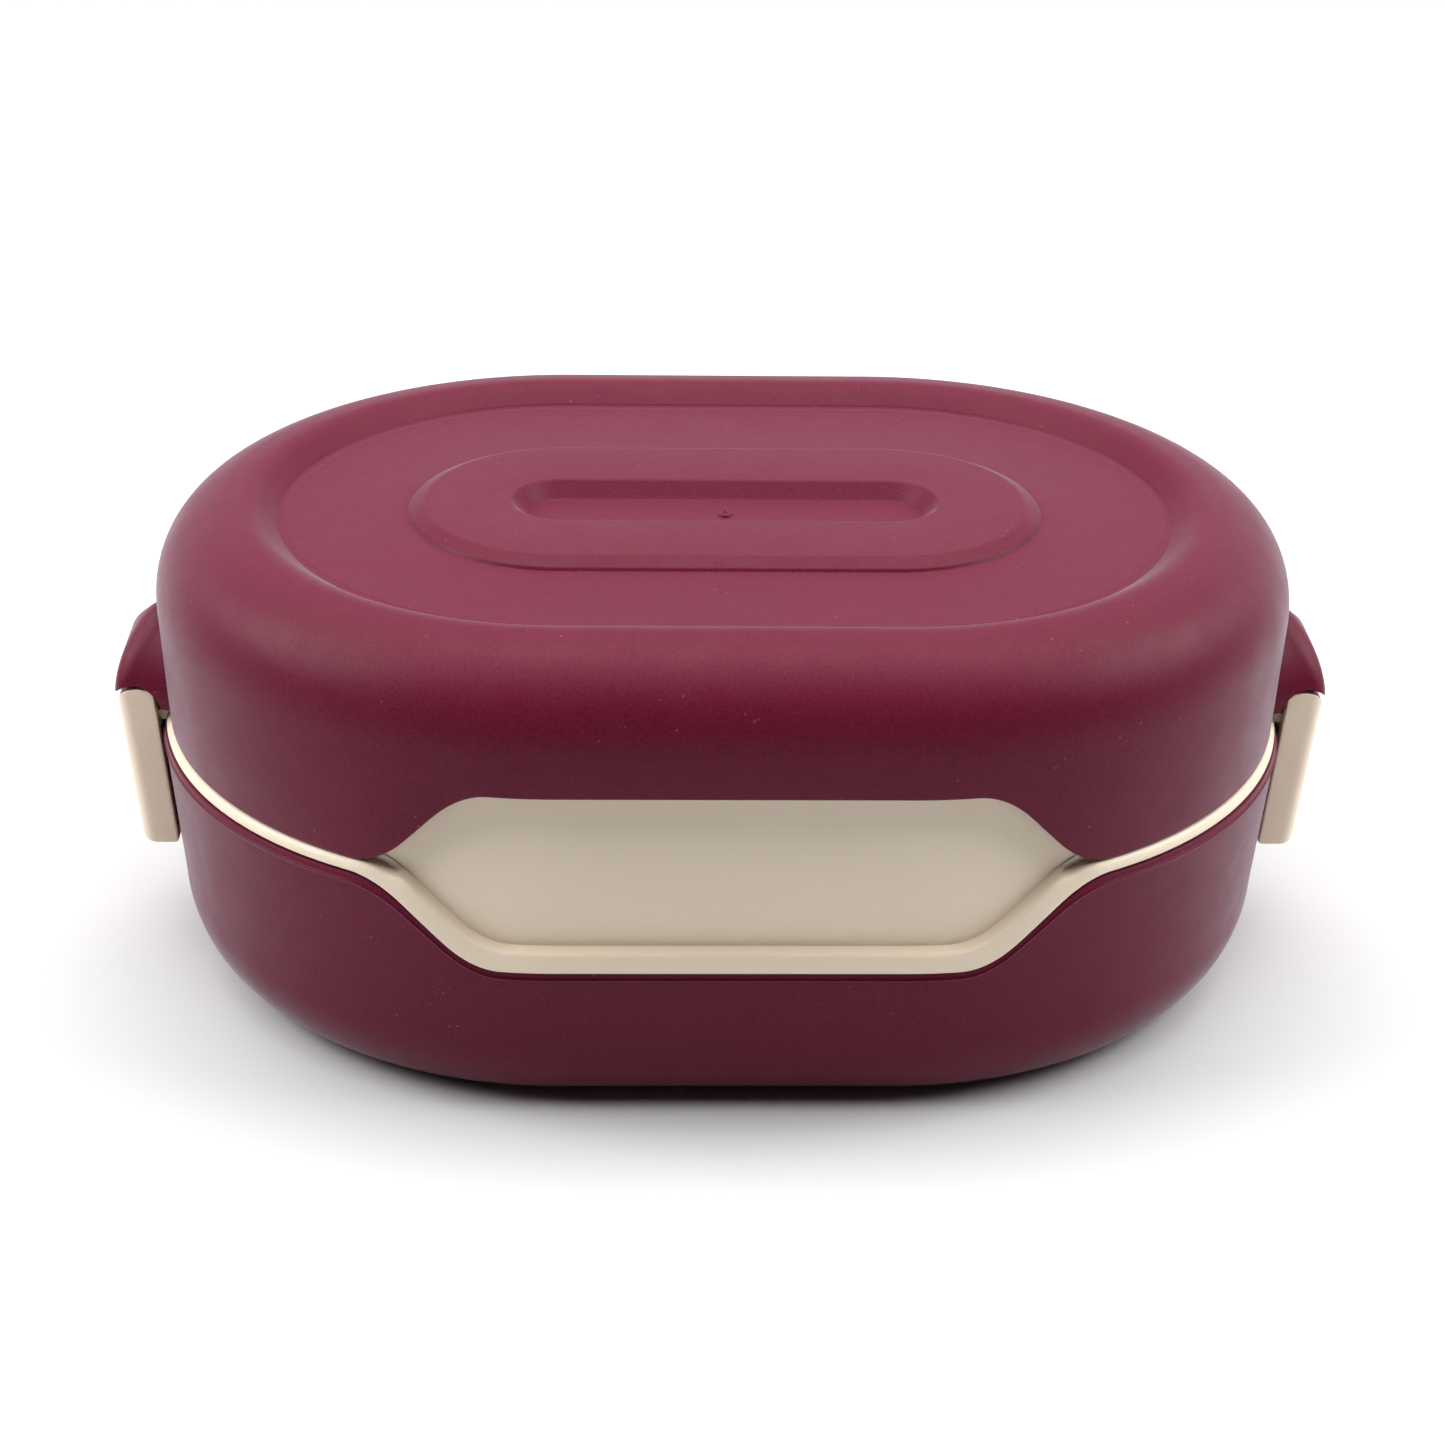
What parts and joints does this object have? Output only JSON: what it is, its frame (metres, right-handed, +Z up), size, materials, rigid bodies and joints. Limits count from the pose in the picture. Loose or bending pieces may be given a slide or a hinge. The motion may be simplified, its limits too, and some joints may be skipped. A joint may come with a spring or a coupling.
{
  "type": "bento lunch box",
  "caption": "Oval bento lunch box with an outer bowl, a lipped food container with dividers, and a domed lid held by swinging end latches.",
  "frame": {"origin": "on the resting surface under the centre of the closed box", "axes": "+X along the long side towards one latch, +Y to the back, +Z up through the lid"},
  "size_m": [0.2274, 0.1508, 0.0885],
  "materials": {
    "burgundy_plastic": "satin moulded",
    "beige_plastic": "semi-gloss moulded",
    "divider_plastic": "semi-gloss moulded",
    "latch_plastic": "semi-gloss moulded",
    "silicone": "soft matte",
    "pin_steel": "drawn wire"
  },
  "bodies": {
    "base": {"outer_bowl": "burgundy_plastic", "food_container": "beige_plastic", "divider_cross": "divider_plastic", "divider_end": "divider_plastic"},
    "lid": {"lid_shell": "burgundy_plastic", "lid_plate": "beige_plastic", "lid_seal": "silicone", "latch_pin_right": "pin_steel", "latch_pin_left": "pin_steel"},
    "latch_right": {"latch_right": "latch_plastic"},
    "latch_left": {"latch_left": "latch_plastic"}
  },
  "joints": [
    {"name": "lid_lift", "type": "slide", "parent": "base", "child": "lid", "axis": [0, 0, 1], "range_m": [0, 0.18]},
    {"name": "latch_right_swing", "type": "hinge", "parent": "lid", "child": "latch_right", "pos_m": [0.1096, 0, 0.049], "axis": [0, -1, 0], "range_deg": [0, 85]},
    {"name": "latch_left_swing", "type": "hinge", "parent": "lid", "child": "latch_left", "pos_m": [-0.1096, 0, 0.049], "axis": [0, 1, 0], "range_deg": [0, 85]}
  ]
}
